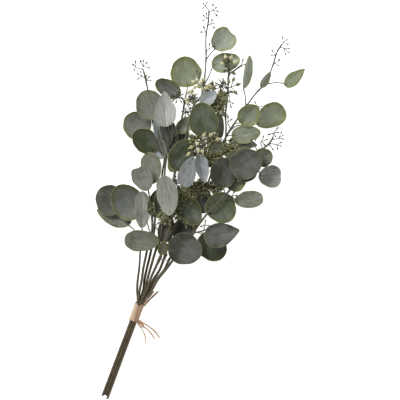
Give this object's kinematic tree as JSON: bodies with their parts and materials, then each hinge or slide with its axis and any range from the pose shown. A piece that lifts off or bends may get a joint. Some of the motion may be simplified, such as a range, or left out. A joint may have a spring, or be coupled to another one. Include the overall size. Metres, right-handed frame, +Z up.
{
  "type": "eucalyptus gum nut bunch",
  "caption": "Tied bunch of leafy eucalyptus stems with round leaves and gum nut clusters, lying flat, its cut ends bound with raffia.",
  "frame": {"origin": "underside of the raffia tie, on the surface that the bunch lies on", "axes": "+Y along the stems towards the leafy tips, +X to the right seen from above with the tips away, +Z up from the surface"},
  "size_m": [0.2713, 0.6137, 0.0896],
  "materials": {
    "foliage": "matt leaf and bark",
    "raffia": "dry satin fibre"
  },
  "bodies": {
    "root": {"sprig_1": "foliage", "sprig_2": "foliage", "sprig_3": "foliage", "sprig_4": "foliage", "sprig_5": "foliage", "sprig_6": "foliage", "sprig_7": "foliage", "sprig_8": "foliage", "tie": "raffia"}
  },
  "joints": []
}
